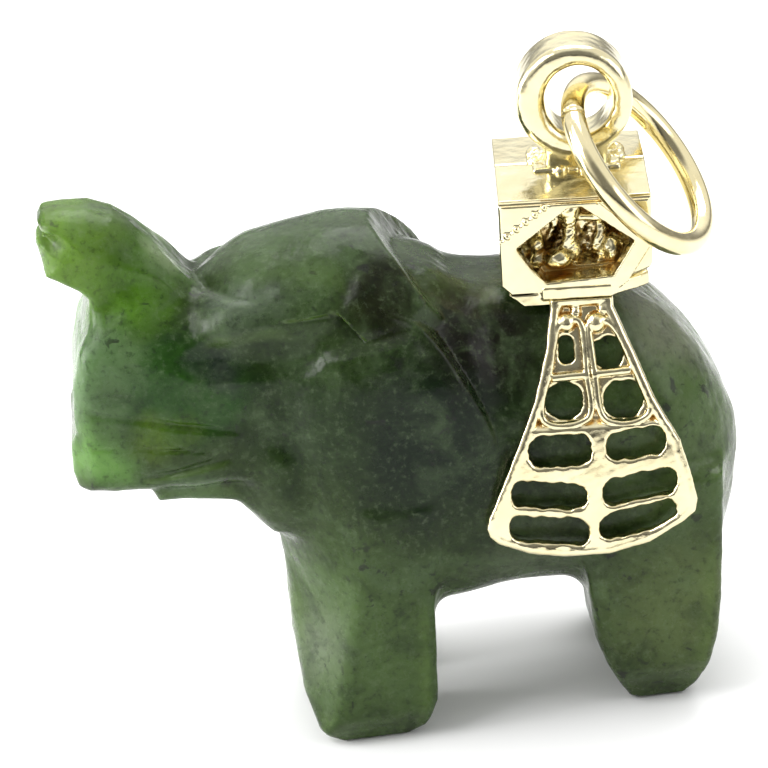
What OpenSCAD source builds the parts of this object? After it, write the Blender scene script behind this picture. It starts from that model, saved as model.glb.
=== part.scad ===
// Carved jade elephant charm with a gold howdah mount, a loop and a jump ring.
// Millimetres. +Z up, the elephant faces -X, the feet stand on z = 0 and
// the origin is the centre of the base of the whole object's box.

/* [Elephant] */
// Half width of the body at the flanks
flank = 3.95; // [3.85:0.05:4]
// Height of the top of the head
crown = 16.5; // [16.3:0.1:16.7]
// Foremost point of the face
face_x = -10.15; // [-10.2:0.05:-9.9]
// Rearmost point of the rump
rump_x = 10.5; // [10.3:0.1:10.5]
// Height of the flat seat cut for the mount
seat_z = 13.95; // [13.7:0.05:14]

/* [Legs] */
// Length of a foot along the body
foot_l = 4.3; // [4.1:0.1:4.4]
// Width of a foot across the body
foot_w = 3.2; // [3:0.1:3.3]
// Distance between the centres of a left and a right foot
track = 4.6; // [4.4:0.1:4.7]
// Centre of the front feet along the body
front_x = -2.1; // [-2.2:0.1:-2]
// Centre of the hind feet along the body
hind_x = 7.35; // [7.2:0.05:7.4]
// Chamfer round a foot
foot_c = 0.8; // [0.6:0.1:0.9]

/* [Mount] */
// Length of the howdah box along the body
box_l = 4.6; // [4.4:0.1:4.7]
// Width of the box across the body
box_w = 5.4; // [5.2:0.1:5.5]
// Height of the box
box_h = 2.95; // [2.9:0.05:3]
// Wall thickness of the box
box_t = 0.4; // [0.35:0.05:0.45]
// Thickness of the strap under the box
strap_t = 0.45; // [0.4:0.05:0.45]
// Thickness of a drape
drape_t = 0.4; // [0.35:0.05:0.4]
// Pitch of the mount down the slope of the back, in degrees
pitch = 2.5; // [1.5:0.5:3]
// Twist of the mount across the back, in degrees
yaw = -4; // [-4:1:-2]

/* [Loop and ring] */
// Outer radius of the charm loop
loop_r = 1.78; // [1.75:0.01:1.8]
// Radius of the hole in the charm loop
loop_hole_r = 1.13; // [1.12:0.01:1.15]
// Thickness of the charm loop across the body
loop_t = 1.8; // [1.7:0.05:1.8]
// Mean radius of the jump ring
ring_r = 2.9; // [2.88:0.01:2.92]
// Wire diameter of the jump ring
wire_d = 0.74; // [0.7:0.01:0.74]

/* [Hidden] */
$fn = 64;
blend_fn = 28;                // facets of the blended stone shapes
fit = 0.05;                   // gap between the mount and the stone
mount_x = 5.8;                // centre of the mount along the body
belly_z = 3.7;
leg_top = 8;                  // legs run up into the body
peg_r = 0.6;
peg_l = 3;
// The drapes are bent to an arc that lies along the flank
bend_r = 15.3;
bend_y = 10.75;
bend_z = -7.25;               // from the seat
neck_w = 2.1;                 // width of a drape at its neck
neck_z = 0;                   // from the seat: the necks meet the strap
hem_w = 6.6;                  // width of a drape at its hem
hem_z = -7.1;
hem_sag = 0.75;               // how much lower the middle of the hem hangs
rail = 0.36;                  // width of the drape's edges and ribs
ridge = 0.14;                 // rise of the box's roof to its middle
loop_x = 0.2;                 // the loop stands a little behind the middle of the box
loop_z = 5.6;                 // from the seat
ring_at = [1.86, -0.63, -2.16]; // centre of the ring from the centre of the loop
ring_lean = 51;
ring_turn = -17;
jade = [0.24, 0.36, 0.2];
gold = [0.88, 0.78, 0.46];

// The mount's own frame: the middle of the seat, pitched with the back and twisted a little
module on_seat() {
    translate([mount_x, 0, seat_z]) rotate([0, pitch, 0]) rotate([0, 0, yaw]) children();
}

module ellipsoid(at, half) {
    translate(at) scale(half) sphere(r = 1, $fn = blend_fn);
}

// ---------- the stone ----------

// Back and rump, up to the seat
module barrel() {
    rump = 3.7;
    hull() {
        ellipsoid([rump_x - rump, 0, 8.6], [rump, flank, 4.1]);
        ellipsoid([3, 0, seat_z - 4.6], [3, flank, 5.2]);
        ellipsoid([6, 0, seat_z - 3.2], [2.4, 3.1, 3.5]);
    }
}

// Chest, belly and the flanks that run down into the legs
module underside() {
    hull() {
        ellipsoid([-1.3, 0, belly_z + 3.6], [2.9, flank, 3.3]);
        ellipsoid([3, 0, belly_z + 3.6], [3, flank, 3.6]);
        ellipsoid([7, 0, belly_z + 3.4], [3.1, flank, 3.4]);
    }
}

// Shoulders, up to the top of the head
module shoulders() {
    hull() {
        ellipsoid([-1.3, 0, crown - 4.3], [3, 3.7, 4.3]);
        ellipsoid([-1.3, 0, belly_z + 4], [2.9, flank, 3.6]);
    }
}

// Head from the forehead down to the mouth
module head() {
    hull() {
        ellipsoid([-3.2, 0, crown - 3.9], [3.2, 3.4, 3.7]);
        ellipsoid([face_x + 1.5, 0, 12], [1.5, 2.7, 2.4]);
        ellipsoid([-7.6, 0, 14.2], [1.9, 2.3, 1.7]);
        ellipsoid([-5.4, 0, 10.6], [1.8, 2.6, 1.8]);
    }
}

// Raised trunk, cut off square at its tip
module trunk() {
    tip = [-10.48, 0, 17.3];
    hull() {
        translate(tip) rotate([0, 90, 0]) scale([1.05, 1.5, 1]) cylinder(r = 1, h = 1.6, $fn = blend_fn);
        ellipsoid([-7.6, 0, 15.6], [1.6, 1.9, 2]);
    }
}

// Ear that hangs over the shoulder like a cape
module ear() {
    hull() {
        ellipsoid([0.2, 2.4, 15.3], [0.7, 0.7, 0.7]);
        ellipsoid([1.9, 3.6, 12], [0.8, 0.5, 0.8]);
        ellipsoid([2.1, flank, 9.8], [0.6, 0.4, 0.6]);
        ellipsoid([-2.2, 3.5, 11.6], [0.8, 0.4, 0.8]);
    }
}

module foot_outline(l, w, c) {
    polygon([[-l / 2 + c, -w / 2], [l / 2 - c, -w / 2], [l / 2, -w / 2 + c], [l / 2, w / 2 - c],
             [l / 2 - c, w / 2], [-l / 2 + c, w / 2], [-l / 2, w / 2 - c], [-l / 2, -w / 2 + c]]);
}

// Leg outline seen from the side or the front, chamfered at the sole
module leg_outline(w) {
    polygon([[-w / 2 + foot_c, 0], [w / 2 - foot_c, 0], [w / 2, foot_c * 1.6],
             [w / 2, leg_top], [-w / 2, leg_top], [-w / 2, foot_c * 1.6]]);
}

module leg(x, side) {
    translate([x, side * track / 2, 0]) intersection() {
        linear_extrude(leg_top) foot_outline(foot_l, foot_w, foot_c);
        rotate([90, 0, 0]) linear_extrude(foot_w, center = true) leg_outline(foot_l);
        rotate([90, 0, 90]) linear_extrude(foot_l, center = true) leg_outline(foot_w);
    }
}

module jade_elephant() {
    color(jade) difference() {
        union() {
            barrel();
            underside();
            shoulders();
            head();
            trunk();
            for (side = [-1, 1]) {
                scale([1, side, 1]) ear();
                leg(front_x, side);
                leg(hind_x, side);
            }
        }
        // flat seat and the blind hole for the peg
        on_seat() {
            translate([-2.6, -4, 0]) cube([6, 8, 3]);
            translate([0, 0, -peg_l - 0.2]) cylinder(r = peg_r + fit, h = peg_l + 1);
        }
        // flanks relieved to the bend of the drapes
        for (side = [-1, 1]) on_seat() scale([1, side, 1]) flank_relief();
    }
}

// What lies outside the inner face of a drape
module flank_relief() {
    difference() {
        translate([-4.2, 1, hem_z - 1.6]) cube([8.2, 6, -hem_z + 3]);
        translate([0, -bend_y, bend_z]) rotate([0, 90, 0])
            cylinder(r = bend_r - drape_t - fit, h = 20, center = true, $fn = 128);
    }
}

// ---------- the gold mount ----------

// Window in the front and back of the box: a low gable over a sill
module window_outline(grow) {
    w = 1.76 + grow;
    sill = 0.25 - grow * 0.8;
    polygon([[-w, 1.36], [-w + 0.66, sill], [w - 0.66, sill], [w, 1.36],
             [0.14, 2.6 + grow * 0.6], [-0.14, 2.6 + grow * 0.6]]);
}

// Solid block of the box, with a low ridge along its roof
module box_block() {
    rotate([90, 0, 90]) linear_extrude(box_l, center = true)
        polygon([[-box_w / 2, 0], [box_w / 2, 0], [box_w / 2, box_h - ridge],
                 [0, box_h], [-box_w / 2, box_h - ridge]]);
}

module howdah_box() {
    color(gold) on_seat() translate([0, 0, strap_t]) {
        difference() {
            box_block();
            for (side = [-1, 1]) translate([0, side * (box_w / 4 + 0.05), box_h / 2 - 0.15])
                cube([box_l - 2 * box_t, box_w / 2 - 2 * box_t + 0.1, box_h - 2 * box_t - 0.1],
                     center = true);
            rotate([90, 0, 0]) linear_extrude(box_w + 1, center = true) window_outline(0);
        }
        // web across the middle, with upright ribs
        translate([0, 0, box_h / 2 - 0.1]) cube([box_l - box_t, 0.4, box_h - box_t], center = true);
        for (i = [-1:1], side = [-1, 1])
            translate([i * 0.75, side * 0.3, box_h / 2 - 0.1])
                cube([0.26, 0.3, box_h - box_t], center = true);
        // raised moulding round each window
        for (side = [-1, 1])
            translate([0, side * (box_w / 2 + 0.06), 0]) rotate([90, 0, 0])
                linear_extrude(0.24, center = true) difference() {
                    window_outline(0.26);
                    window_outline(0);
                }
    }
}

// Plate between the box and the stone, drawn in to the necks of the drapes
module saddle_strap() {
    reach = box_w / 2 + 0.1;
    shoulder = box_w / 2 - 0.75;
    color(gold) on_seat() linear_extrude(strap_t)
        polygon([[-box_l / 2 + 0.1, -shoulder], [-neck_w / 2, -reach], [neck_w / 2, -reach],
                 [box_l / 2 - 0.1, -shoulder], [box_l / 2 - 0.1, shoulder], [neck_w / 2, reach],
                 [-neck_w / 2, reach], [-box_l / 2 + 0.1, shoulder]]);
}

// Outline of a drape, flat, z downwards from the seat
function hem(t) = [t * hem_w / 2, hem_z + 0.25 * t * t - hem_sag * (1 - t * t)];
module drape_outline(inset) {
    w0 = neck_w / 2 - inset;
    polygon(concat([[w0, neck_z - inset], [-w0, neck_z - inset]],
                   [for (i = [-6:6]) hem(i / 6) * (1 - inset * 0.24) + [0, inset * 0.2]]));
}

// Cells of the openwork: half width of each row, its height and its level from the seat
rows = [[-1.3, 0.5, 0.62], [-2.65, 0.68, 0.9], [-4, 1.02, 0.78], [-5.2, 1.3, 0.7], [-6.3, 1.5, 0.72]];
module cell(row, side) {
    half = row[1] / 2 + 0.08;
    x = rail / 2 + half + 0.05 + (row[1] - 0.5) * 0.32;
    run = max(half - row[2] / 2, 0.02);
    translate([side * x, row[0] + 0.12 * row[1]]) rotate(side * 7) {
        square([2 * run, row[2]], center = true);
        for (end = [-1, 1]) translate([end * run, 0]) circle(d = row[2], $fn = 32);
    }
}

module drape(side) {
    color(gold) on_seat() scale([1, side, 1]) intersection() {
        rotate([90, 0, 0]) linear_extrude(12, center = true) difference() {
            drape_outline(0);
            for (row = rows, s = [-1, 1]) cell(row, s);
        }
        translate([0, -bend_y, bend_z]) difference() {
            rotate([0, 90, 0]) cylinder(r = bend_r, h = 10, center = true, $fn = 128);
            rotate([0, 90, 0]) cylinder(r = bend_r - drape_t, h = 12, center = true, $fn = 128);
        }
        translate([-6, 0, -12]) cube([12, 8, 14]);
    }
}
module drape_left() { drape(-1); }
module drape_right() { drape(1); }

// Thick loop with rounded rims, standing on a short foot
module charm_loop() {
    round_r = 0.25;
    color(gold) on_seat() translate([loop_x, 0, loop_z]) rotate([90, 0, 0]) {
        rotate_extrude($fn = 96) {
            translate([loop_hole_r + round_r, -loop_t / 2])
                square([loop_r - loop_hole_r - 2 * round_r, loop_t]);
            translate([loop_hole_r, -loop_t / 2 + round_r])
                square([loop_r - loop_hole_r, loop_t - 2 * round_r]);
            for (x = [loop_hole_r + round_r, loop_r - round_r], z = [-1, 1])
                translate([x, z * (loop_t / 2 - round_r)]) circle(r = round_r, $fn = 32);
        }
    }
}

// Solder that joins the loop's foot to the roof of the box
module loop_solder() {
    color(gold) on_seat() difference() {
        translate([loop_x, 0, strap_t + box_h - ridge]) intersection() {
            cylinder(r1 = 1.3, r2 = 0.9, h = 0.9);
            translate([-2, -1, 0]) cube([4, 2, 2]);
        }
        translate([0, 0, strap_t]) box_block();
        translate([loop_x, 0, loop_z]) rotate([90, 0, 0]) cylinder(r = loop_r, h = 5, center = true, $fn = 96);
    }
}

module jump_ring() {
    color(gold) on_seat() translate(ring_at + [loop_x, 0, loop_z]) rotate([0, ring_lean, ring_turn])
        rotate_extrude($fn = 128) translate([ring_r, 0]) circle(d = wire_d, $fn = 32);
}

// Post under the strap, cemented into the stone
module mounting_peg() {
    color(gold) on_seat() translate([0, 0, -peg_l]) cylinder(r = peg_r, h = peg_l);
}

jade_elephant();
howdah_box();
saddle_strap();
drape_left();
drape_right();
charm_loop();
loop_solder();
jump_ring();
mounting_peg();
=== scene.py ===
"""Carved jade elephant charm in a gold howdah mount, with a charm loop and a jump ring.

The stone and the cast gold are shaped as signed-distance fields in millimetres and meshed here; the
jump ring is a swept wire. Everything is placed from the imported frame, then scaled to metres.
"""
import math

import bpy
import numpy as np
from mathutils import Matrix, Vector


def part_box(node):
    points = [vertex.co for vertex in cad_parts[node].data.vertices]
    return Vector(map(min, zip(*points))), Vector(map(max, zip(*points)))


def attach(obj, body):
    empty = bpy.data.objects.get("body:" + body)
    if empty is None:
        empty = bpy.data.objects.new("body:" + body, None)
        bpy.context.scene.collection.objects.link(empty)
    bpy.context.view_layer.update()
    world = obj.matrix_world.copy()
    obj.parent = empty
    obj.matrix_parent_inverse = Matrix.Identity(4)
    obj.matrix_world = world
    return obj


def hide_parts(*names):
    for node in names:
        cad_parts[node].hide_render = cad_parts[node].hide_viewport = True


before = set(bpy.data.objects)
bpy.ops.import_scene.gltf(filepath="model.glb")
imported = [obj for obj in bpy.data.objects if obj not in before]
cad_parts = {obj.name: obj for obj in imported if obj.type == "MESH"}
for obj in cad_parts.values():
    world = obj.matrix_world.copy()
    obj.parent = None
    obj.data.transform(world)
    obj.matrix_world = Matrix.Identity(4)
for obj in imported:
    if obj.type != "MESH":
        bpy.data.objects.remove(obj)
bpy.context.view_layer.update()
MM = 0.001


# ---------- signed distances: points are rows of an array, in millimetres ----------

def ellipsoid(p, at, half):
    """Ellipsoid with these half axes; the distance is close to true near its surface."""
    half = np.array(half, float)
    q = (p - np.array(at, float)) / half
    near = np.linalg.norm(q, axis=1)
    return near * (near - 1) / np.maximum(np.linalg.norm(q / half, axis=1), 1e-9)


def block(p, at, half, r):
    """Box with all its edges rounded to radius r."""
    q = np.abs(p - np.array(at, float)) - (np.array(half, float) - r)
    return np.linalg.norm(np.maximum(q, 0), axis=1) + np.minimum(q.max(1), 0) - r


def rod(p, start, end, r_start, r_end=None):
    """Round-ended rod, tapered where the two radii differ."""
    start, end = np.array(start, float), np.array(end, float)
    r_end = r_start if r_end is None else r_end
    along = end - start
    t = np.clip((p - start) @ along / (along @ along), 0, 1)
    return np.linalg.norm(p - start - t[:, None] * along, axis=1) - r_start - t * (r_end - r_start)


def half_space(p, normal, through):
    """Negative behind the plane that passes through a point and faces along normal."""
    n = np.array(normal, float)
    return (p - np.array(through, float)) @ (n / np.linalg.norm(n))


def join(a, b, k):
    """Union with a fillet about k wide."""
    h = np.maximum(k - np.abs(a - b), 0) / k
    return np.minimum(a, b) - h * h * k / 4


def meet(a, b, k):
    """Intersection with its edge eased over k."""
    return -join(-a, -b, k)


def cut(a, b, k):
    """a without b, with its edge eased over k."""
    return meet(a, -b, k)


def round_meet(a, b, r):
    """Intersection with its edge rounded to radius r."""
    a, b = a + r, b + r
    return np.minimum(np.maximum(a, b), 0) + np.hypot(np.maximum(a, 0), np.maximum(b, 0)) - r


def ease(x, low, high):
    """0 below low, 1 above high, and smooth between them."""
    t = np.clip((x - low) / (high - low), 0, 1)
    return t * t * (3 - 2 * t)


def bump_at(u, v, at, half):
    """Smooth bump of height 1 in a plane."""
    return np.exp(-((u - at[0]) / half[0]) ** 2 - ((v - at[1]) / half[1]) ** 2)


def closed_curve(points, per_span=8):
    """Catmull-Rom curve through a ring of points."""
    p = np.array(points, float)
    a, b, c, d = np.roll(p, 1, 0), p, np.roll(p, -1, 0), np.roll(p, -2, 0)
    t = (np.arange(per_span) / per_span)[None, :, None]
    a, b, c, d = a[:, None], b[:, None], c[:, None], d[:, None]
    curve = 0.5 * (2 * b + (c - a) * t + (2 * a - 5 * b + 4 * c - d) * t ** 2
                   + (3 * b - a - 3 * c + d) * t ** 3)
    return curve.reshape(-1, 2)


def polygon_distance(u, v, points):
    """Signed distance to a closed polygon in a plane."""
    nearest = np.full(u.shape, 1e9)
    inside = np.zeros(u.shape, bool)
    for (u0, v0), (u1, v1) in zip(points, np.roll(points, -1, 0)):
        eu, ev = u1 - u0, v1 - v0
        t = np.clip(((u - u0) * eu + (v - v0) * ev) / max(eu * eu + ev * ev, 1e-12), 0, 1)
        nearest = np.minimum(nearest, np.hypot(u - u0 - t * eu, v - v0 - t * ev))
        crosses = (v0 > v) != (v1 > v)
        if abs(ev) > 1e-12:
            inside ^= crosses & (u < u0 + (v - v0) * eu / ev)
    return np.where(inside, -nearest, nearest)


class Outline:
    """Closed outline in a plane, drawn through its points and kept as a table of distances."""

    def __init__(self, points, smooth=False, step=0.05, margin=2.5):
        points = closed_curve(points) if smooth else np.array(points, float)
        self.step, self.low = step, points.min(0) - margin
        size = np.ceil((points.max(0) + margin - self.low) / step).astype(int) + 1
        u = self.low[0] + step * np.arange(size[0])
        v = self.low[1] + step * np.arange(size[1])
        self.table = polygon_distance(*np.meshgrid(u, v, indexing="ij"), points)

    def __call__(self, u, v):
        top = np.array(self.table.shape) - 1.001
        gu, gv = (u - self.low[0]) / self.step, (v - self.low[1]) / self.step
        cu, cv = np.clip(gu, 0, top[0]), np.clip(gv, 0, top[1])
        iu, iv = cu.astype(int), cv.astype(int)
        fu, fv = cu - iu, cv - iv
        t = self.table
        near = ((t[iu, iv] * (1 - fu) + t[iu + 1, iv] * fu) * (1 - fv)
                + (t[iu, iv + 1] * (1 - fu) + t[iu + 1, iv + 1] * fu) * fv)
        return near + self.step * np.hypot(gu - cu, gv - cv)


def ripple(p, length, seed):
    """Soft waves between about -1 and 1, the same on every run."""
    rng = np.random.default_rng(seed)
    total = np.zeros(len(p))
    for scale, weight in ((1, 0.5), (0.53, 0.3), (0.29, 0.2)):
        for _ in range(3):
            direction = rng.normal(size=3)
            direction *= 2 * np.pi / (length * scale * np.linalg.norm(direction))
            total += weight * np.sin(p @ direction + rng.uniform(0, 2 * np.pi)) / 1.7
    return total


# ---------- from a field to a mesh ----------

CORNERS = np.array([(x, y, z) for x in (0, 1) for y in (0, 1) for z in (0, 1)])
EDGES = [(a, b) for a in range(8) for b in range(a + 1, 8)
         if np.abs(CORNERS[a] - CORNERS[b]).sum() == 1]
NEAR = 1.8                       # blocks with the surface within this many widths are worked out
PER_BATCH = 1500                 # blocks worked out at a time, to spare memory
PULLS = 3                        # times that the mesh's points are drawn onto the surface
LONGEST_PULL = 0.4               # of a cell


def sample(field, low, high, cell, block_cells=6):
    """Field values on a grid, worked out closely only near the surface."""
    size = np.ceil((high - low) / (cell * block_cells)).astype(int)
    centres = (np.indices(size).reshape(3, -1).T + 0.5) * cell * block_cells
    rough = field(low + centres)
    values = np.kron(rough.reshape(size), np.ones((block_cells,) * 3))
    near = np.argwhere(np.abs(rough.reshape(size)) < NEAR * cell * block_cells)
    local = np.indices((block_cells,) * 3).reshape(3, -1).T
    for part in np.array_split(near, max(1, len(near) // PER_BATCH)):
        at = (part[:, None] * block_cells + local).reshape(-1, 3)
        values[tuple(at.T)] = field(low + at * cell)
    return values


def gradient(field, p, h):
    """Slope of the field at each point, over steps of h."""
    steps = np.eye(3) * h
    return np.stack([(field(p + s) - field(p - s)) / (2 * h) for s in steps], 1)


def net_surface(field, low, high, cell):
    """Surface nets: one point per cell that the surface crosses, drawn onto the surface."""
    low, high = np.array(low, float), np.array(high, float)
    values = sample(field, low, high, cell)
    inside = values < 0
    shape = np.array(values.shape) - 1
    count = sum(inside[x:x + shape[0], y:y + shape[1], z:z + shape[2]].astype(int)
                for x, y, z in CORNERS)
    mixed = (count > 0) & (count < 8)
    cells = np.argwhere(mixed)
    corner = np.stack([values[tuple((cells + c).T)] for c in CORNERS], 1)
    total, crossings = np.zeros((len(cells), 3)), np.zeros(len(cells))
    for a, b in EDGES:
        crossed = (corner[:, a] < 0) != (corner[:, b] < 0)
        t = corner[crossed, a] / (corner[crossed, a] - corner[crossed, b])
        total[crossed] += CORNERS[a] + t[:, None] * (CORNERS[b] - CORNERS[a])
        crossings[crossed] += 1
    points = low + (cells + total / crossings[:, None]) * cell
    for _ in range(PULLS):
        g = gradient(field, points, cell * 0.25)
        move = -field(points)[:, None] * g / np.maximum((g * g).sum(1), 0.05)[:, None]
        length = np.linalg.norm(move, axis=1)[:, None]
        points += move * np.minimum(1, LONGEST_PULL * cell / np.maximum(length, 1e-9))
    index = np.full(mixed.shape, -1)
    index[mixed] = np.arange(len(cells))
    quads = []
    for axis in range(3):
        u, v = np.eye(3, dtype=int)[(axis + 1) % 3], np.eye(3, dtype=int)[(axis + 2) % 3]
        ahead = np.roll(inside, -1, axis)
        change = np.argwhere(inside != ahead)
        change = change[(change[:, axis] < shape[axis]) & (change[:, (axis + 1) % 3] > 0)
                        & (change[:, (axis + 2) % 3] > 0)]
        around = np.stack([index[tuple((change - o).T)] for o in (0 * u, u, u + v, v)], 1)
        leaving = inside[tuple(change.T)]
        quads.append(np.where(leaving[:, None], around, around[:, ::-1]))
    quads = np.concatenate(quads)
    return points, quads[(quads >= 0).all(1)]


def make_mesh(name, points, faces, normals=None, **shades):
    """Mesh object from points in millimetres, smooth, with named values per point."""
    mesh = bpy.data.meshes.new(name)
    mesh.vertices.add(len(points))
    mesh.vertices.foreach_set("co", (np.asarray(points) * MM).astype(np.float32).ravel())
    mesh.loops.add(faces.size)
    mesh.loops.foreach_set("vertex_index", faces.astype(np.int32).ravel())
    mesh.polygons.add(len(faces))
    mesh.polygons.foreach_set("loop_start", np.arange(0, faces.size, faces.shape[1], dtype=np.int32))
    mesh.polygons.foreach_set("use_smooth", np.ones(len(faces), bool))
    mesh.update(calc_edges=True)
    mesh.validate()
    for key, value in shades.items():
        mesh.attributes.new(key, "FLOAT", "POINT").data.foreach_set("value", value.astype(np.float32))
    if normals is not None:
        mesh.normals_split_custom_set_from_vertices(normals)
    obj = bpy.data.objects.new(name, mesh)
    bpy.context.scene.collection.objects.link(obj)
    return obj


def build(name, field, low, high, cell, place=None, depth=0.8, hollow=0.3):
    """Meshes a field and places it. Its values per point: thin is high where little of the piece
    lies within depth behind the surface, and nook is high in hollows narrower than hollow."""
    points, faces = net_surface(field, low, high, cell)
    normals = gradient(field, points, cell * 0.3)
    normals /= np.maximum(np.linalg.norm(normals, axis=1), 1e-9)[:, None]
    behind = [np.clip(-field(points - normals * d) / d, 0, 1) for d in (depth, 2 * depth)]
    nook = 1 - np.clip(field(points + normals * hollow) / hollow, 0, 1)
    if place is not None:
        turn = np.array(place.to_3x3())
        points = points @ turn.T + np.array(place.translation)
        normals = normals @ turn.T
    thin = 1 - (behind[0] + behind[1]) / 2
    return make_mesh(name, points, faces, normals, thin=thin, nook=nook)


# ---------- the mount's own frame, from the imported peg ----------

PITCH = math.radians(2.5)        # slope of the seat down towards the rump
YAW = math.radians(-4)           # twist of the mount across the back
peg_low, peg_high = (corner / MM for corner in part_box("mounting_peg"))
PEG_LENGTH = 3                   # the peg runs this far down from the seat
seat_up = Vector((math.sin(PITCH), 0, math.cos(PITCH)))
seat = (peg_low + peg_high) / 2 + seat_up * PEG_LENGTH / 2
ON_SEAT = Matrix.Translation(seat) @ Matrix.Rotation(PITCH, 4, "Y") @ Matrix.Rotation(YAW, 4, "Z")
FROM_SEAT = ON_SEAT.inverted()


def seat_frame(p):
    """Row-frame points seen from the seat."""
    turn = np.array(FROM_SEAT.to_3x3())
    return p @ turn.T + np.array(FROM_SEAT.translation)


# Sizes of the mount as in the CAD, measured from the seat
STRAP_T = 0.45                   # thickness of the strap under the box
BOX_L, BOX_W, BOX_H = 4.6, 5.4, 2.95
RIDGE = 0.14                     # rise of the roof to its middle
DRAPE_T = 0.4
BEND_R, BEND_Y, BEND_Z = 15.3, 10.75, -7.25   # outer radius and centre of the drapes' arc
LOOP_X, LOOP_Z = 0.2, 5.6
LOOP_R, LOOP_HOLE_R, LOOP_T = 1.78, 1.13, 1.8


# ---------- the stone ----------

FLANK = 3.9                      # half width of the body
LEG_MIDDLE = 2.3                 # from the middle of the body to the middle of a leg
LEG_HALF = 1.6                   # half width of a leg
BED_GAP = 0.05                   # between the stone and a drape

# Outlines from the side, in x along the body and z up
body_outline = Outline([
    (-4.0, 6.0), (-4.3, 9.0), (-4.3, 12.0), (-3.2, 14.3), (-1.4, 15.15), (0.1, 15.3), (0.95, 15.05),
    (1.5, 14.75), (1.95, 14.4), (2.6, 14.12), (3.6, 13.98), (5.4, 13.95), (6.6, 13.75), (7.5, 13.1),
    (8.45, 12.25), (9.3, 11.2), (9.95, 9.9), (10.32, 8.5), (10.18, 6.9), (9.8, 5.4), (9.0, 4.3),
    (7.2, 3.75), (5.0, 3.95), (3.0, 4.05), (1.2, 3.85), (-1.0, 3.8), (-3.0, 4.3)], smooth=True)
front_leg_outline = Outline([
    (-4.0, 8.0), (-4.2, 5.0), (-4.25, 3.2), (-4.15, 1.6), (-3.8, 0.5), (-3.1, 0.0), (-1.0, 0.0),
    (-0.45, 0.3), (0.0, 1.3), (0.12, 3.0), (0.4, 8.0)])
hind_leg_outline = Outline([
    (5.1, 8.0), (5.02, 4.2), (5.1, 3.5), (5.15, 2.45), (5.42, 1.5), (5.8, 0.7), (6.1, 0.15), (6.4, 0.0),
    (7.8, 0.0), (8.15, 0.3), (8.5, 1.0), (8.9, 2.2), (9.12, 3.6), (9.25, 5.0), (9.5, 8.0)])
dome_outline = Outline([
    (-6.35, 14.3), (-6.15, 14.9), (-5.8, 15.4), (-5.1, 15.72), (-4.3, 15.98), (-3.5, 16.17),
    (-2.7, 16.32), (-1.8, 16.42), (-0.9, 16.42), (0.5, 16.2), (2.5, 15.8), (2.5, 10.5), (-6.35, 10.5)])
face_outline = Outline([
    (-10.32, 9.9), (-10.22, 9.45), (-9.9, 9.3), (-9.1, 9.2), (-8.1, 9.18), (-4.0, 9.1), (-1.0, 9.5),
    (-0.5, 12.0), (-1.5, 15.0), (-6.0, 15.1), (-9.0, 15.05), (-9.3, 14.5), (-9.62, 13.9), (-9.95, 12.8),
    (-10.06, 11.8), (-10.06, 11.3), (-10.26, 10.85)])
chin_outline = Outline([
    (-8.1, 9.8), (-8.02, 9.2), (-7.84, 8.75), (-7.0, 8.67), (-5.4, 8.4), (-4.75, 7.95), (-4.35, 7.3),
    (-3.0, 7.0), (-3.0, 10.0), (-8.0, 10.0)])
trunk_outline = Outline([
    (-10.28, 17.42), (-10.36, 17.75), (-10.2, 17.98), (-9.57, 18.0), (-8.82, 17.94), (-8.09, 17.64),
    (-7.54, 17.2), (-7.0, 16.65), (-6.46, 16.0), (-6.08, 15.45), (-5.7, 15.0), (-5.6, 13.6),
    (-9.0, 13.6), (-9.1, 15.0), (-9.13, 15.35), (-9.4, 15.65), (-9.92, 15.92), (-10.36, 16.12),
    (-10.42, 16.6), (-10.5, 17.1), (-10.4, 17.28), (-10.12, 17.3)])
ear_outline = Outline([
    (-1.3, 16.6), (-0.85, 15.5), (-0.6, 14.9), (-0.15, 14.5), (0.5, 14.15), (1.0, 13.65),
    (1.5, 12.85), (1.95, 11.9), (2.35, 10.9), (2.6, 9.8), (2.4, 8.6), (0.6, 7.4), (-2.4, 7.6),
    (-4.4, 9.4), (-4.9, 12.0), (-4.4, 14.6), (-3.0, 16.4)], smooth=True)


def flank_relief(x, z):
    """How far the carving raises the flank: the ear's lip and the hollow behind it, the valley
    between the head and the ear, and two soft swellings."""
    edge = ear_outline(x, z)
    upper = ease(z, 9.4, 11.6)
    behind = ease(edge, -0.05, 0.09) * np.exp(-(np.maximum(edge, 0) / 1.5) ** 2)
    lip = np.exp(-((edge + 0.12) / 0.14) ** 2)
    below_valley = z - 13.25 - 0.14 * (x + 2.1)
    valley = ease(below_valley, -0.1, 0.5) * ease(x, -5.0, 0.2) * (1 - ease(edge, -0.7, 0.0))
    swell = bump_at(x, z, (-0.6, 10.6), (2.6, 2.6))
    fold = bump_at(x, z, (0.4, 7.2), (3.0, 0.9))
    return upper * (0.07 * lip - 0.42 * behind) - 0.5 * valley + 0.08 * swell - 0.07 * fold


def leg(outer, outline, sole_at, chamfer_at, chamfer_normal):
    """Block leg with its outer front edge ground off. Its outer side draws in to sole_at from the
    middle of the body at the ground, and its inner side slopes too."""
    x, side, z = outer.T
    across = np.abs(side - LEG_MIDDLE) - LEG_HALF
    low = round_meet(outline(x, z), across, 0.3)
    low = meet(low, half_space(outer, chamfer_normal, chamfer_at), 0.25)
    taper = half_space(outer, (0, 1, -0.55), (0, sole_at, 0))
    inner = half_space(outer, (0, -1, -0.5), (0, LEG_MIDDLE - LEG_HALF, 0.5))
    return meet(meet(low, taper, 0.15), inner, 0.2)


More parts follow.
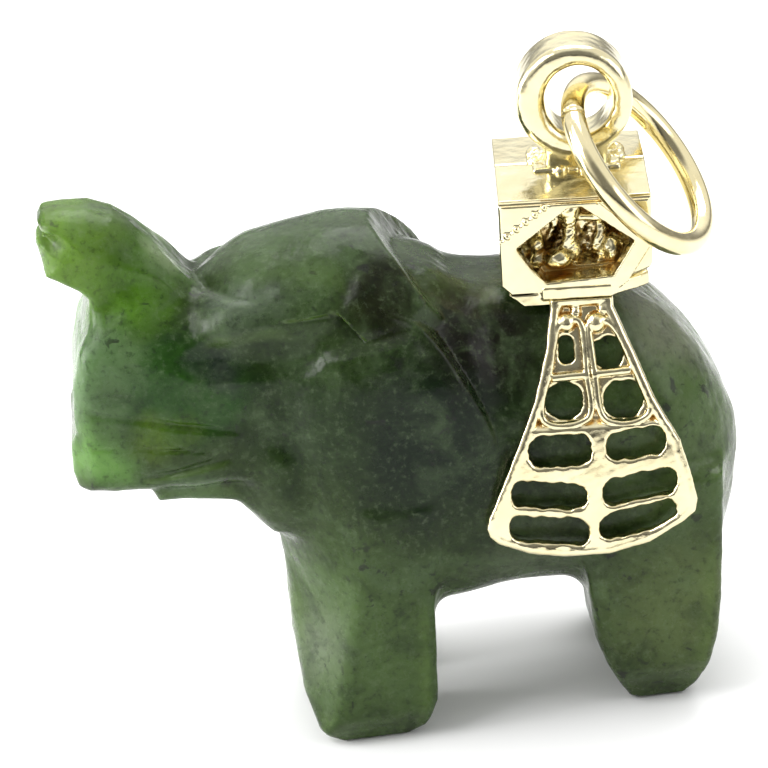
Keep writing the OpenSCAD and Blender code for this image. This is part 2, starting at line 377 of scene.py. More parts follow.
def elephant(p):
    """The whole carving. Both sides are the same but for the seat's twist and the unevenness.
    Points in outer have both sides folded onto +Y."""
    x, y, z = p.T
    side = np.abs(y)
    outer = np.stack([x, side, z], 1)

    # Body and legs
    width = FLANK + flank_relief(x, z)
    body = round_meet(body_outline(x, z), side - width, 3.1)
    front = leg(outer, front_leg_outline, 3.3, (-3.55, 3.15, 2), (-1, 0.8, 0.25))
    hind = leg(outer, hind_leg_outline, 3.0, (5.3, 3.45, 2.4), (-1, 0.9, -0.25))
    stone = join(body, np.minimum(front, hind), 0.7)

    # Face, chin and throat
    cheek = 2.95 - 0.3 * ease(x, -6.5, -9.0)
    face = round_meet(face_outline(x, z), side - cheek, 0.75)
    snout_corner = half_space(outer, (-0.75, 0.66, 0.0), (-10.1, 2.15, 0))
    face = meet(face, snout_corner, 0.15)
    brow_slope = half_space(outer, (0, 0.72, 0.69), (0, 2.7, 14.0)) - 1.0 * ease(x, -6.3, -4.6)
    face = meet(face, brow_slope, 0.6)
    chin = round_meet(chin_outline(x, z), side - 2.45, 0.35)
    throat = ellipsoid(p, (-3.6, 0, 8.9), (2.0, 3.3, 2.4))
    head = join(join(face, chin, 0.12), throat, 0.7)
    stone = join(stone, head, 0.35)

    # Dome of the head, which stands out over a ledge, with its facets
    dome = round_meet(dome_outline(x, z), side - 3.3 + 1.2 * ease(x, -4.0, -6.6), 3.0)
    ledge = 14.5 + 0.045 * (x + 4) - 0.4 * ease(x, -4.6, -6.4) - 1.4 * ease(x, -1.9, -0.4)
    dome = np.maximum(dome, ledge - z)
    rear_crest = half_space(outer, (0.848, -0.10, 0.53), (-0.2, 0, 16.0))
    dome = meet(dome, rear_crest, 0.1)
    brow_facet = rod(outer, (-2.6, 2.2, 16.6), (-5.9, 3.1, 14.6), 0.55, 0.4)
    dome = cut(dome, brow_facet, 0.3)
    crest_facet = rod(outer, (-1.0, 2.4, 16.2), (-1.9, 3.35, 14.6), 0.35, 0.2)
    dome = cut(dome, crest_facet, 0.4)
    stone = join(stone, dome, 0.08)

    # Raised trunk, rounder towards its tip
    trunk = round_meet(trunk_outline(x, z), side - 1.6, 0.4 + 0.9 * ease(z, 15.6, 16.8))
    tip_corner = half_space(outer, (-0.7, 0.66, -0.25), (-10.4, 1.6, 16.7))
    trunk = meet(trunk, tip_corner, 0.1)
    rear_bevel = half_space(outer, (0.7, 0.45, 0.555), (-7.12, 1.45, 16.3))
    trunk = meet(trunk, rear_bevel, 0.04)
    root = ellipsoid(p, (-7.6, 0, 14.3), (1.7, 2.3, 1.5))
    stone = join(stone, join(trunk, root, 0.5), 0.3)

    # Hollows of the eye and the brow, and the lines cut into the face
    eye = ellipsoid(outer, (-5.6, 3.2, 13.55), (0.95, 0.65, 0.6))
    stone = cut(stone, eye, 0.35)
    brow = ellipsoid(outer, (-4.2, 3.45, 13.45), (1.9, 0.75, 0.95))
    stone = cut(stone, brow, 0.2)
    mouth = rod(outer, (-9.6, 2.66, 10.95), (-6.3, 2.98, 10.6), 0.1, 0.06)
    stone = cut(stone, mouth, 0.08)
    snout_line = rod(outer, (-9.6, 2.7, 12.15), (-5.2, 3.0, 11.1), 0.12, 0.05)
    stone = cut(stone, snout_line, 0.2)
    jaw_line = rod(outer, (-8.1, 2.75, 9.75), (-5.6, 2.98, 10.2), 0.12, 0.06)
    stone = cut(stone, jaw_line, 0.2)
    cheek_line = rod(outer, (-4.65, 3.15, 13.4), (-3.75, 3.45, 11.7), 0.08)
    stone = cut(stone, cheek_line, 0.15)

    # Flanks ground to the arc of the drapes, fading out ahead of them, and the flat seat
    along, across, up = seat_frame(p).T
    drape_bed = np.hypot(np.abs(across) + BEND_Y, np.maximum(up - BEND_Z, 0))
    drape_bed = drape_bed - (BEND_R - DRAPE_T - BED_GAP)
    stone = meet(stone, drape_bed - 2.0 * ease(x, 3.2, 0.2), 0.4)
    over_seat = np.maximum(-up, np.abs(along) - 2.6)
    stone = meet(stone, -over_seat, 0.05)

    return stone + 0.03 * ripple(p, 3.4, 5) + 0.008 * ripple(p, 0.9, 8)


# ---------- the gold mount, in the seat's frame ----------

FINE = 0.03                      # grid step of the small outlines

window_outline = Outline([
    (-1.8, 1.27), (-0.2, 2.5), (0.2, 2.52), (1.74, 1.34), (1.08, 0.26), (-0.95, 0.12),
    (-1.42, 0.65)], step=FINE)
# Outer edge of the raised band round the window
band_outline = Outline([
    (-2.6, 1.3), (-0.45, 2.92), (0.45, 2.92), (2.4, 1.42), (1.5, 0.0), (1.1, -0.3),
    (-1.9, -0.3), (-2.6, 0.4)], step=FINE)


def howdah_box(p):
    """Hollow box with a window in each long side and rough casting inside; it stands on the strap."""
    q = p - np.array([0, 0, STRAP_T])
    x, y, z = q.T
    side = np.abs(y)
    outer = np.stack([x, side, z], 1)

    # Walls and low roof, with a groove under the eaves and a line along the top
    slope = half_space(outer, (0, RIDGE / (BOX_W / 2), 1), (0, 0, BOX_H))
    walls = block(q, (0, 0, BOX_H / 2 + 0.5), (BOX_L / 2, BOX_W / 2, BOX_H / 2 + 0.5), 0.14)
    shell = meet(np.maximum(walls, -z), slope, 0.06)
    raised_corner = half_space(q, (0.36, 0, -0.93), (1.25, 0, 0))
    shell = meet(shell, raised_corner, 0.2)
    shell = meet(shell, -z, 0.08)
    roof_groove = np.hypot(side - BOX_W / 2, z - BOX_H + RIDGE + 0.08) - 0.09
    shell = cut(shell, roof_groove, 0.02)
    roof_step = np.hypot(side - 0.02, z - BOX_H - 0.03) - 0.06
    shell = cut(shell, roof_step, 0.05)

    # Raised band round the window, and beads along its upper edge
    window = window_outline(x, z)
    band = band_outline(x, z)
    moulding = np.maximum(np.maximum(band, -window), side - BOX_W / 2 - 0.06)
    moulding = np.maximum(moulding, BOX_W / 2 - 0.2 - side)
    moulding = np.maximum(moulding, np.maximum(z - BOX_H + RIDGE + 0.16, np.abs(x) - BOX_L / 2))
    shell = join(shell, moulding, 0.05)
    beads = np.hypot(band, side - BOX_W / 2 - 0.02) - 0.06 - 0.05 * np.sin(14 * (x + 0.75 * z))
    beads = np.maximum(beads, np.maximum(z - BOX_H + RIDGE + 0.14, 1.5 - z))
    shell = join(shell, np.maximum(beads, np.abs(x) - BOX_L / 2), 0.03)

    # Hollow and windows
    hollow = block(q, (0, 0, 1.35), (BOX_L / 2 - 0.42, BOX_W / 2 - 0.42, 1.02), 0.3)
    opening = np.maximum(window, BOX_W / 2 - 0.8 - side)
    shell = cut(shell, np.minimum(hollow, opening), 0.07)

    # Rough web across the middle, with ribs, a cross bar and lumps on it
    rough = 0.09 * ripple(q, 1.1, 21) + 0.035 * ripple(q, 0.5, 22)
    web = side - 1.15 + rough
    ribs = np.hypot(x + 0.15, side - 1.6) - 0.2 - 0.06 * z
    ribs = np.minimum(ribs, np.hypot(x - 0.78, side - 1.55) - 0.2)
    ribs = np.minimum(ribs, np.hypot(x + 1.15, side - 1.45) - 0.2)
    cross = np.hypot(z - 1.72, side - 1.55) - 0.14
    cross = np.maximum(cross, np.abs(x - 0.3) - 0.6)
    core = join(join(web, ribs + rough, 0.15), cross + rough * 0.5, 0.12)
    lumps = join(ellipsoid(outer, (-0.5, 1.9, 0.55), (0.45, 0.4, 0.32)),
                 ellipsoid(outer, (1.15, 1.75, 0.75), (0.3, 0.35, 0.45)), 0.1)
    lumps = join(lumps, ellipsoid(outer, (-1.15, 1.6, 1.0), (0.3, 0.3, 0.3)), 0.1)
    core = join(core, lumps + rough * 0.6, 0.15)
    room = block(q, (0, 0, BOX_H / 2), (BOX_L / 2 - 0.2, 2.3, BOX_H / 2 - 0.15), 0.1)
    core = np.maximum(core, room)
    return join(shell, core, 0.1) + 0.005 * ripple(p, 1.3, 31)


# From above
strap_outline = Outline([
    (-2.2, -1.95), (-1.75, -2.35), (-1.25, -2.62), (-1.05, -2.8), (1.0, -2.8), (1.25, -2.6),
    (1.8, -2.3), (2.2, -1.95), (2.2, 1.95), (1.8, 2.3), (1.25, 2.6), (1.0, 2.8), (-1.05, 2.8),
    (-1.25, 2.62), (-1.75, 2.35), (-2.2, 1.95)], step=FINE)
# From the side
gusset_outline = Outline([
    (-2.15, 0.2), (-0.8, 0.2), (-0.85, -0.95), (-1.1, -0.85), (-1.45, -0.4),
    (-1.85, -0.05)], step=FINE)


def saddle_strap(p):
    """Plate under the box, with a small gusset down each flank on the head's side of the drape."""
    x, y, z = p.T
    plate = round_meet(strap_outline(x, y), np.abs(z - STRAP_T / 2) - STRAP_T / 2 + 0.005, 0.1)
    gusset = round_meet(gusset_outline(x, z), np.abs(np.abs(y) - 2.52 + 0.12 * z) - 0.14, 0.08)
    return join(plate, gusset, 0.12) + 0.012 * ripple(p, 0.8, 41)


# The drape, in x along the body and s down from the seat, along its arc
DRAPE_MID = BEND_R - DRAPE_T / 2
SHEET_HALF = 0.19                # half thickness of its plate
drape_outline = Outline([
    (-0.87, -0.05), (-0.9, 0.4), (-1.11, 1.6), (-1.53, 3.1), (-2.13, 4.6), (-2.72, 5.95), (-3.08, 6.75),
    (-3.18, 7.1), (-3.1, 7.38), (-2.85, 7.62), (-1.89, 8.01), (-0.82, 8.18), (0.56, 8.17), (1.8, 7.84),
    (2.89, 7.19), (3.22, 6.88), (3.3, 6.5), (3.18, 5.84), (2.84, 4.56), (2.14, 3.2), (1.53, 1.6),
    (1.05, 0.4), (1.01, -0.05)], step=FINE)
# Rows of openings from the top: x, s, half width, half height and tilt of the two in each row
CELLS = [
    ((-0.44, 1.63, 0.22, 0.4, 0.0), (0.8, 1.78, 0.45, 0.46, 0.0)),
    ((-0.6, 3.19, 0.55, 0.54, 0.0), (1.2, 3.24, 0.58, 0.55, 0.0)),
    ((-0.82, 4.7, 0.96, 0.48, -0.03), (1.51, 4.6, 0.88, 0.44, -0.1)),
    ((-1.22, 6.1, 1.14, 0.41, 0.1), (1.57, 5.97, 1.14, 0.42, -0.16)),
    ((-1.25, 7.26, 1.21, 0.44, 0.11), (1.47, 7.06, 1.17, 0.43, -0.21)),
]
# Raised rims of the two upper panels, each round a small cell and a round one
PANELS = [
    Outline([(-0.62, 0.85), (0.02, 0.85), (0.12, 2.4), (0.2, 3.5), (-0.1, 3.85), (-0.75, 3.95),
             (-1.25, 3.75), (-1.3, 3.2), (-1.0, 2.2), (-0.85, 1.5)], smooth=True, step=FINE),
    Outline([(0.28, 0.85), (0.85, 0.85), (1.3, 1.5), (1.55, 2.2), (1.92, 3.1), (1.95, 3.7),
             (1.4, 3.98), (0.75, 3.9), (0.45, 3.5), (0.36, 2.4)], smooth=True, step=FINE),
]
# Drops of metal at the neck: x, s and radius
NECK_LUMPS = [(-0.4, 0.8, 0.27), (0.5, 0.85, 0.3), (-0.1, 0.5, 0.16), (0.75, 0.45, 0.18),
              (-0.65, 0.4, 0.14)]


def cell_distance(x, s, cell):
    """Opening with well rounded corners."""
    middle_x, middle_s, half_w, half_h, tilt = cell
    u, v = x - middle_x, s - middle_s
    v = v - tilt * u
    r = min(half_w, half_h) * 0.85
    qu, qv = np.abs(u) - (half_w - r), np.abs(v) - (half_h - r)
    return np.hypot(np.maximum(qu, 0), np.maximum(qv, 0)) + np.minimum(np.maximum(qu, qv), 0) - r


def drape(p, side):
    """Openwork fan; side is -1 for the left one and 1 for the right one."""
    x = p[:, 0]
    # height is measured out from the middle of the sheet
    out, up = side * p[:, 1] + BEND_Y, p[:, 2] - BEND_Z
    height = np.hypot(out, up) - DRAPE_MID
    top = math.atan2(-BEND_Z, math.sqrt(DRAPE_MID ** 2 - BEND_Z ** 2))
    s = (top - np.arctan2(up, out)) * DRAPE_MID
    edge = drape_outline(x, s)
    holes = np.full(len(p), 1e3)
    for row in CELLS:
        for cell in row:
            holes = np.minimum(holes, cell_distance(x, s, cell))
    holes = holes + 0.035 * ripple(p, 0.7, 52)
    sheet = np.maximum(edge, -holes)

    # The upper part is thinner, between raised rims
    face = SHEET_HALF - 0.23 * (1 - ease(s, 3.75, 4.1))
    metal = round_meet(sheet, np.maximum(height - face, -height - SHEET_HALF), 0.12)
    # Raised edge, the rims of the panels, a bar between their openings and drops at the neck
    border = np.hypot(edge + 0.16, height - 0.05) - 0.165
    metal = join(metal, border, 0.05)
    for panel in PANELS:
        rim = np.hypot(panel(x, s), height - 0.07) - 0.115
        metal = join(metal, rim, 0.04)
    bar = np.hypot(s - 2.42 + 0.05 * x, height - 0.05) - 0.13
    bar = np.maximum(bar, np.maximum(np.abs(x - 0.25) - 1.2, 0.04 - np.abs(x - 0.24)))
    metal = join(metal, bar, 0.06)
    for lump_x, lump_s, r in NECK_LUMPS:
        lump = np.sqrt((x - lump_x) ** 2 + ((s - lump_s) * 0.9) ** 2 + height ** 2) - r
        metal = join(metal, lump, 0.06)
    neck = block(p, (0.07, side * 2.35, -0.12), (0.93, 0.42, 0.14), 0.1)
    metal = join(metal, neck, 0.12) + 0.01 * ripple(p, 0.8, 51)
    return np.maximum(metal, np.maximum(-height - SHEET_HALF, p[:, 2] + 0.01))


def charm_loop(p):
    """Thick flat loop on a short foot; its hole is an oval a little off the centre."""
    q = p - np.array([LOOP_X, 0, LOOP_Z])
    x, y, z = q.T
    hole = (np.hypot((x - 0.13) / 1.02, z / 1.12) - 1) * 1.07
    disc = np.hypot(x, z) - LOOP_R
    band = round_meet(np.maximum(disc, -hole), np.abs(y) - LOOP_T / 2, 0.3)
    foot = block(p, (LOOP_X, 0, LOOP_Z - LOOP_R - 0.1), (0.95, 0.72, 0.35), 0.2)
    foot = np.maximum(foot, LOOP_HOLE_R + 0.2 - np.hypot(x, z))
    return join(band, foot, 0.3) + 0.01 * ripple(p, 1.1, 61)


# Beads of solder: x and y from the middle of the loop's foot, and radius
SOLDER = [(-1.25, 0.75, 0.26), (-1.0, 0.35, 0.3), (-0.75, -0.1, 0.24), (-1.3, 0.15, 0.2),
          (-0.5, -0.7, 0.2), (1.25, 0.7, 0.28), (1.3, 0.2, 0.24), (1.0, -0.2, 0.26),
          (0.7, -0.6, 0.2), (0.2, -0.8, 0.16)]


def loop_solder(p):
    """Bed of solder under the loop's foot with beads on it."""
    roof = STRAP_T + BOX_H - 0.06
    bed = block(p, (LOOP_X, 0, roof + 0.02), (1.35, 0.72, 0.12), 0.1)
    for x, y, r in SOLDER:
        bed = join(bed, ellipsoid(p, (LOOP_X + x, y, roof + 0.06), (r, r, r * 0.9)), 0.1)
    return bed + 0.012 * ripple(p, 0.4, 71)


def mounting_peg(p):
    """Post with shallow grooves that hold the cement."""
    x, y, z = p.T
    shaft = np.hypot(x, y) - 0.58 + 0.02 * np.sin(9 * z)
    return round_meet(shaft, np.abs(z + 1.5) - 1.48, 0.12)


# ---------- the jump ring, a bent wire whose ends meet at a seam ----------

def jump_ring():
    """Ring of round wire that lies just where the CAD one does."""
    # Centre, normal and sizes of the CAD ring
    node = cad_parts["jump_ring"]
    co = np.array([v.co for v in node.data.vertices]) / MM
    centre = (co.min(0) + co.max(0)) / 2
    _, axes = np.linalg.eigh(np.cov((co - centre).T))
    normal = axes[:, 0] * np.sign(axes[0, 0])
    across = np.cross(normal, (0, 0, 1))
    across /= np.linalg.norm(across)
    rise = np.cross(across, normal)
    flat = (co - centre) - np.outer((co - centre) @ normal, normal)
    wire_r = np.ptp((co - centre) @ normal) / 2
    mean_r = np.linalg.norm(flat, axis=1).max() - wire_r

    # The wire narrows a little at its seam
    wire_steps, ring_steps = 40, 260
    seam = math.radians(62)
    turn = np.linspace(0, 2 * np.pi, ring_steps, endpoint=False)
    turn = seam + turn + 0.03 * np.sin(turn)
    from_seam = np.abs((turn - seam + np.pi) % (2 * np.pi) - np.pi) * mean_r
    radius = wire_r * (0.995 - 0.16 * np.exp(-(from_seam / 0.035) ** 2))
    phi = np.linspace(0, 2 * np.pi, wire_steps, endpoint=False)
    out = np.cos(turn)[:, None] * across + np.sin(turn)[:, None] * rise
    points = (centre + out[:, None] * (mean_r + radius[:, None] * np.cos(phi))[..., None]
              + (radius[:, None] * np.sin(phi))[..., None] * normal)
    i, j = np.indices((ring_steps, wire_steps))
    here, ahead = i * wire_steps, (i + 1) % ring_steps * wire_steps
    beside = (j + 1) % wire_steps
    faces = np.stack([here + j, ahead + j, ahead + beside, here + beside], -1)
    flat_shade = np.zeros(ring_steps * wire_steps)
    return make_mesh("jump_ring_wire", points.reshape(-1, 3), faces.reshape(-1, 4),
                     thin=flat_shade, nook=flat_shade)


# ---------- materials ----------

def shade_tree(name):
    """A new material, its node tree and its shader."""
    material = bpy.data.materials.new(name)
    material.use_nodes = True
    tree = material.node_tree
    shader = next(n for n in tree.nodes if n.type == "BSDF_PRINCIPLED")
    return material, tree, shader


def linear(r, g, b):
    """An sRGB colour, 0 to 255, as scene-linear values."""
    def one(c):
        c /= 255
        return c / 12.92 if c <= 0.04045 else ((c + 0.055) / 1.055) ** 2.4
    return one(r), one(g), one(b), 1


class Nodes:
    """Short forms for the nodes that the materials use. Places on a piece are in millimetres."""

    def __init__(self, tree, output="Object"):
        self.tree = tree
        self.place = tree.nodes.new("ShaderNodeTexCoord").outputs[output]
        if output == "Object":
            to_mm = self.add("ShaderNodeVectorMath", operation="SCALE")
            to_mm.inputs["Scale"].default_value = 1 / MM
            tree.links.new(self.place, to_mm.inputs[0])
            self.place = to_mm.outputs[0]

    def add(self, kind, **settings):
        node = self.tree.nodes.new(kind)
        for key, value in settings.items():
            setattr(node, key, value)
        return node

    def put(self, value, socket):
        if isinstance(value, bpy.types.NodeSocket):
            self.tree.links.new(value, socket)
        else:
            socket.default_value = value

    def math(self, operation, a, b):
        node = self.add("ShaderNodeMath", operation=operation)
        self.put(a, node.inputs[0])
        self.put(b, node.inputs[1])
        return node.outputs[0]

    def vector(self, operation, a, b):
        node = self.add("ShaderNodeVectorMath", operation=operation)
        self.put(a, node.inputs[0])
        self.put(b, node.inputs[1])
        return node.outputs[1 if operation in ("DISTANCE", "DOT_PRODUCT") else 0]

    def noise(self, size, detail, rough, color=False, warp=0.0):
        node = self.add("ShaderNodeTexNoise")
        self.put(self.place, node.inputs["Vector"])
        node.inputs["Scale"].default_value = 1 / size
        node.inputs["Detail"].default_value = detail
        node.inputs["Roughness"].default_value = rough
        node.inputs["Distortion"].default_value = warp
        return node.outputs["Color" if color else "Fac"]

    def span(self, value, low, high, to_low=0.0, to_high=1.0):
        """Eases from to_low to to_high as value goes from low to high."""
        node = self.add("ShaderNodeMapRange", interpolation_type="SMOOTHSTEP")
        self.put(value, node.inputs[0])
        for i, number in enumerate((low, high, to_low, to_high)):
            self.put(number, node.inputs[i + 1])
        return node.outputs[0]

    def mix(self, factor, a, b):
        node = self.add("ShaderNodeMix", data_type="RGBA")
        self.put(factor, node.inputs[0])
        self.put(a, node.inputs[6])
        self.put(b, node.inputs[7])
        return node.outputs[2]

    def attribute(self, name):
        node = self.add("ShaderNodeAttribute", attribute_name=name)
        return node.outputs["Fac"]

    def bump(self, height, strength, distance):
        node = self.add("ShaderNodeBump")
        node.inputs["Strength"].default_value = strength
        node.inputs["Distance"].default_value = distance * MM
        self.put(height, node.inputs["Height"])
        return node.outputs[0]


GLOSS = (0.017, 0.022, 0.014)    # light that the polish adds everywhere, in red, green and blue
DARKEST = 0.003
# Patches of colour, alike on both sides: middle, radius of the full colour, radius of
# its end, sRGB colour and strength. The pale grey ones on the forehead, the top of the rump, the
# front leg's ground-off edge and the back of the trunk are painted reflection; the dark grey one in
# the eye's hollow is painted shade; the bright yellow-green ones on the trunk and snout are painted
# light shining through the stone
PATCHES_AND_PAINTED_LIGHT = [
    ((8.5, 2.5, 9.5), 1.5, 5.0, (88, 108, 66), 0.9),
    ((8.0, 2.5, 3.5), 1.0, 4.0, (96, 112, 68), 0.9),
    ((8.4, 1.5, 12.4), 0.8, 2.6, (116, 122, 100), 0.8),
    ((-2.2, 2.5, 3.5), 1.5, 5.0, (84, 106, 62), 0.9),
    ((3.5, 3.0, 5.5), 0.5, 3.0, (84, 96, 72), 0.8),
    ((0.8, 3.9, 10.6), 1.2, 4.8, (42, 54, 32), 0.95),
    ((-3.6, 3.0, 11.8), 0.8, 3.4, (50, 66, 40), 0.9),
    ((-3.0, 1.0, 16.0), 1.0, 3.6, (70, 88, 58), 0.7),
    ((-4.5, 2.8, 15.2), 0.4, 1.8, (98, 112, 92), 0.5),
    ((-0.2, 3.0, 14.9), 0.7, 2.0, (48, 54, 22), 0.95),
    ((2.6, 3.0, 13.2), 0.8, 2.6, (46, 50, 28), 0.95),
    ((-6.6, 2.4, 12.6), 1.0, 2.6, (54, 84, 42), 0.9),
    ((-5.5, 3.0, 13.45), 0.3, 1.1, (50, 58, 50), 0.9),
    ((-9.2, 1.5, 13.2), 0.6, 2.6, (112, 144, 96), 0.9),
    ((-9.4, 2.2, 10.6), 0.3, 1.8, (116, 160, 84), 0.9),
    ((-7.4, 2.6, 11.2), 0.2, 1.3, (96, 122, 48), 0.8),
    ((-7.0, 2.2, 9.2), 0.3, 1.8, (96, 118, 84), 0.8),
    ((-7.9, 1.0, 15.5), 0.8, 2.2, (84, 122, 46), 0.9),
    ((-6.9, 0.8, 16.3), 0.3, 0.9, (136, 152, 116), 0.6),
    ((-4.05, 3.1, 3.2), 0.2, 2.3, (128, 140, 116), 0.6),
    ((-9.6, 1.0, 17.0), 0.6, 2.4, (104, 138, 58), 0.95),
]


def stone_tint(r, g, b):
    """Base colour that looks like this one under the stone's thin gloss, for its own colours and for
    its painted light and shade alike.
    """
    seen = linear(r, g, b)[:3]
    return tuple(max(0.85 * c - gloss, DARKEST) for c, gloss in zip(seen, GLOSS)) + (1,)


def jade():
    """Polished nephrite: broad patches of green with painted reflection, shade and through-light among
    them, soft clouds, fine grain, black flecks and thin edges painted lighter.
    """
    material, tree, shader = shade_tree("jade")
    n = Nodes(tree)
    wander = n.vector("SUBTRACT", n.noise(2.6, 3, 0.55, color=True), (0.5, 0.5, 0.5))
    scaled = n.add("ShaderNodeVectorMath", operation="SCALE")
    scaled.inputs["Scale"].default_value = 2.2
    n.put(wander, scaled.inputs[0])
    mirrored = n.vector("ABSOLUTE", n.place, (0, 0, 0))
    split, fold = n.add("ShaderNodeSeparateXYZ"), n.add("ShaderNodeSeparateXYZ")
    n.put(n.place, split.inputs[0])
    n.put(mirrored, fold.inputs[0])
    where = n.add("ShaderNodeCombineXYZ")
    n.put(split.outputs[0], where.inputs[0])
    n.put(fold.outputs[1], where.inputs[1])
    n.put(split.outputs[2], where.inputs[2])
    where = n.vector("ADD", where.outputs[0], scaled.outputs[0])

    color = stone_tint(60, 76, 45)
    # Each patch mixes in its colour; painted reflection, painted shade and painted through-light are
    # among them
    for middle, inner, outer, tint, strength in PATCHES_AND_PAINTED_LIGHT:
        near = n.span(n.vector("DISTANCE", where, middle), inner, outer, strength, 0.0)
        color = n.mix(near, color, stone_tint(*tint))

    cloud = n.noise(1.5, 5, 0.62, warp=0.6)
    color = n.mix(n.span(cloud, 0.45, 0.72, 0.0, 0.45), color, stone_tint(90, 110, 76))
    color = n.mix(n.span(cloud, 0.5, 0.28, 0.0, 0.5), color, stone_tint(40, 54, 30))
    grain = n.noise(0.22, 4, 0.65)
    color = n.mix(n.span(grain, 0.52, 0.72, 0.0, 0.2), color, stone_tint(124, 142, 108))
    color = n.mix(n.span(grain, 0.48, 0.3, 0.0, 0.45), color, stone_tint(34, 44, 28))
    fleck_zone = n.span(n.noise(3.1, 2, 0.5), 0.44, 0.58)
    flecks = n.span(n.noise(0.5, 3, 0.55, warp=0.5), 0.62, 0.68)
    color = n.mix(n.math("MULTIPLY", flecks, n.math("MULTIPLY", fleck_zone, 0.75)), color,
                  linear(28, 30, 26))
    # Painted light: thin edges are mixed towards a paler yellow-green, standing in for light that
    # shines through them
    thin = n.attribute("thin")
    color = n.mix(n.span(thin, 0.4, 0.95, 0.0, 0.25), color, stone_tint(120, 150, 76))
    n.put(color, shader.inputs["Base Color"])

    scuff = n.noise(0.9, 5, 0.7)
    n.put(n.span(scuff, 0.3, 0.75, 0.16, 0.4), shader.inputs["Roughness"])
    ground = n.math("ADD", n.noise(0.8, 3, 0.5), n.math("MULTIPLY", n.noise(0.09, 2, 0.6), 0.05))
    n.put(n.bump(ground, 0.5, 0.07), shader.inputs["Normal"])
    shader.inputs["Subsurface Weight"].default_value = 0.3
    shader.inputs["Subsurface Radius"].default_value = (0.55, 1.0, 0.3)
    shader.inputs["Subsurface Scale"].default_value = 0.5 * MM
    shader.inputs["IOR"].default_value = 1.5
    shader.inputs["Specular IOR Level"].default_value = 0.17
    return material


def gold(name, polish, cast, tone=(225, 216, 178), painted_nook_shade=(196, 158, 84)):
    """Yellow gold, with painted shade that darkens it in nooks; polish is its lowest roughness and
    cast the height of its waves in millimetres."""
    material, tree, shader = shade_tree(name)
    n = Nodes(tree)
    nook = n.attribute("nook")
    stain = n.noise(0.8, 4, 0.6)
    color = n.mix(n.span(stain, 0.35, 0.7, 0.0, 0.3), linear(*tone), linear(212, 196, 144))
    # Painted shade: narrow hollows are mixed towards a dark brown-gold
    color = n.mix(n.span(nook, 0.25, 0.95, 0.0, 0.85), color, linear(*painted_nook_shade))
    n.put(color, shader.inputs["Base Color"])
    shader.inputs["Metallic"].default_value = 1.0
    haze = n.span(n.noise(0.35, 5, 0.65), 0.35, 0.75, polish, polish + 0.14)
    n.put(n.math("ADD", haze, n.span(nook, 0.3, 1.0, 0.0, 0.15)), shader.inputs["Roughness"])
    waves = n.math("ADD", n.noise(0.55, 2, 0.5), n.math("MULTIPLY", n.noise(0.12, 3, 0.6), 0.25))
    n.put(n.bump(waves, 0.6, cast), shader.inputs["Normal"])
    return material


MATERIALS = {
    "jade": jade(),
    "gold": gold("gold", 0.12, 0.03),
    # The solder's painted shade in its nooks is darker still
    "gold_solder": gold("gold_solder", 0.13, 0.06, painted_nook_shade=(170, 132, 62)),
    "gold_wire": gold("gold_wire", 0.08, 0.012, tone=(233, 221, 178)),
}


# ---------- the pieces ----------

def settle(piece, node, body, slot):
    """The piece stands for a CAD node, rides on its body and takes its slot's finish."""
    piece.data.materials.append(MATERIALS[slot])
    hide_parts(node)
    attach(piece, body)


def node_span(node, grow):
    """A node's box in millimetres, grown a little on every side."""
    low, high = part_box(node)
    return np.array(low) / MM - grow, np.array(high) / MM + grow


coarse = 1.0
stone_low, stone_high = node_span("jade_elephant", 0.35)
stone = build("jade_elephant_stone", elephant, stone_low, stone_high, 0.115 * coarse,
              depth=1.1, hollow=0.5)
settle(stone, "jade_elephant", "figurine", "jade")


def on_mount(name, node, field, low, high, cell, slot="gold"):
    """Meshes a piece of the mount between two corners in the seat's frame, and settles it."""
    settle(build(name, field, low, high, cell * coarse, ON_SEAT), node, "figurine", slot)


half_l, half_w = BOX_L / 2 + 0.2, BOX_W / 2 + 0.3
roof_z = STRAP_T + BOX_H
on_mount("howdah_box_cast", "howdah_box", howdah_box,
         (-half_l, -half_w, STRAP_T - 0.2), (half_l, half_w, roof_z + 0.2), 0.055)
on_mount("saddle_strap_plate", "saddle_strap", saddle_strap,
         (-half_l, -half_w, -0.2), (half_l, half_w, STRAP_T + 0.2), 0.07)
for side, name in ((-1, "left"), (1, "right")):
    nearest, furthest = sorted((side * 1.5, side * 5.0))
    on_mount(f"drape_{name}_openwork", f"drape_{name}", lambda p, s=side: drape(p, s),
             (-4.0, nearest, -8.6), (3.3, furthest, 0.3), 0.055)
on_mount("charm_loop_band", "charm_loop", charm_loop,
         (LOOP_X - 2.1, -1.2, roof_z - 0.4), (LOOP_X + 2.1, 1.2, LOOP_Z + 2.1), 0.05)
on_mount("loop_solder_beads", "loop_solder", loop_solder,
         (LOOP_X - 2, -1.4, roof_z - 0.5), (LOOP_X + 2, 1.4, roof_z + 0.8), 0.045, "gold_solder")
on_mount("mounting_peg_post", "mounting_peg", mounting_peg,
         (-0.9, -0.9, -3.3), (0.9, 0.9, 0.3), 0.08)
settle(jump_ring(), "jump_ring", "jump_ring", "gold_wire")


# ---------- stage, light and camera ----------

def pale_floor():
    """Pale matt square under the object."""
    half = 3.0                   # metres
    mesh = bpy.data.meshes.new("floor")
    mesh.from_pydata([(-half, -half, 0), (half, -half, 0), (half, half, 0), (-half, half, 0)], [],
                     [(0, 1, 2, 3)])
    floor = bpy.data.objects.new("floor", mesh)
    bpy.context.scene.collection.objects.link(floor)
    material, _, shader = shade_tree("pale_floor")
    shader.inputs["Base Color"].default_value = (0.9, 0.9, 0.9, 1)
    shader.inputs["Roughness"].default_value = 0.8
    mesh.materials.append(material)


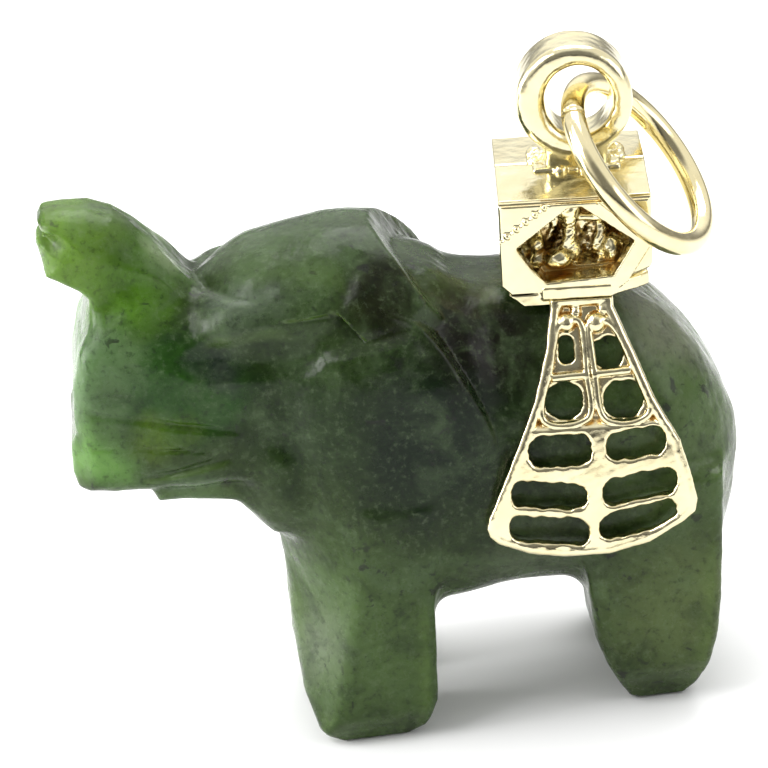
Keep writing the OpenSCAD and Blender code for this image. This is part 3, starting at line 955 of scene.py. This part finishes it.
def soft_light(name, place, aim, size, power):
    """Square area light; place, aim and size in millimetres, power in watts."""
    light = bpy.data.lights.new(name, "AREA")
    light.shape, light.size, light.energy = "SQUARE", size * MM, power
    obj = bpy.data.objects.new(name, light)
    obj.location = Vector(place) * MM
    obj.rotation_euler = (Vector(aim) - Vector(place)).to_track_quat("-Z", "Y").to_euler()
    bpy.context.scene.collection.objects.link(obj)


def surroundings():
    """White tent: bright overhead and at the sides, a little brighter behind, dim at eye height
    and where it opens in front."""
    world = bpy.data.worlds.new("studio")
    bpy.context.scene.world = world
    world.use_nodes = True
    n = Nodes(world.node_tree, output="Generated")
    background = world.node_tree.nodes["Background"]
    split = n.add("ShaderNodeSeparateXYZ")
    n.put(n.place, split.inputs[0])
    opening = n.span(n.vector("DOT_PRODUCT", n.place, (0.0, -0.89, 0.45)), 0.66, 0.94, 1.0, 0.24)
    eye_level = n.span(split.outputs[2], 0.08, 0.34, 0.3, 1.0)
    behind = n.span(n.vector("DOT_PRODUCT", n.place, (0.0, 0.87, 0.5)), 0.7, 0.97, 1.08, 1.4)
    strength = n.math("MULTIPLY", n.math("MULTIPLY", opening, eye_level), behind)
    n.put(strength, background.inputs["Strength"])
    background.inputs["Color"].default_value = (1, 1, 1, 1)


def camera():
    """Close to side on, above the back, turned a little and slightly rolled."""
    azimuth, elevation, roll = (math.radians(angle) for angle in (2, 25, 6.5))
    distance, aim = 120, Vector((-0.45, 0, 10.68))   # millimetres
    forward = Vector((math.sin(azimuth) * math.cos(elevation), math.cos(azimuth) * math.cos(elevation),
                      -math.sin(elevation)))
    level = Vector((math.cos(azimuth), -math.sin(azimuth), 0))
    rise = level.cross(forward)
    right = math.cos(roll) * level - math.sin(roll) * rise
    up = math.cos(roll) * rise + math.sin(roll) * level
    data = bpy.data.cameras.new("camera")
    data.sensor_width, data.lens = 36, 180
    data.clip_start, data.clip_end = 0.001, 10
    obj = bpy.data.objects.new("camera", data)
    turn = Matrix((right, up, -forward)).transposed().to_4x4()
    obj.matrix_world = Matrix.Translation((aim - forward * distance) * MM) @ turn
    bpy.context.scene.collection.objects.link(obj)
    bpy.context.scene.camera = obj


pale_floor()
soft_light("key", (-115, -35, 150), (0, 0, 8), 100, 0.17)
soft_light("top", (30, 80, 170), (2, 0, 10), 130, 0.24)
soft_light("fill", (130, -70, 60), (0, 0, 8), 90, 0.05)
soft_light("left", (-150, 5, 48), (0, 0, 8), 80, 0.2)
surroundings()
camera()
bpy.context.scene.view_settings.view_transform = "Standard"
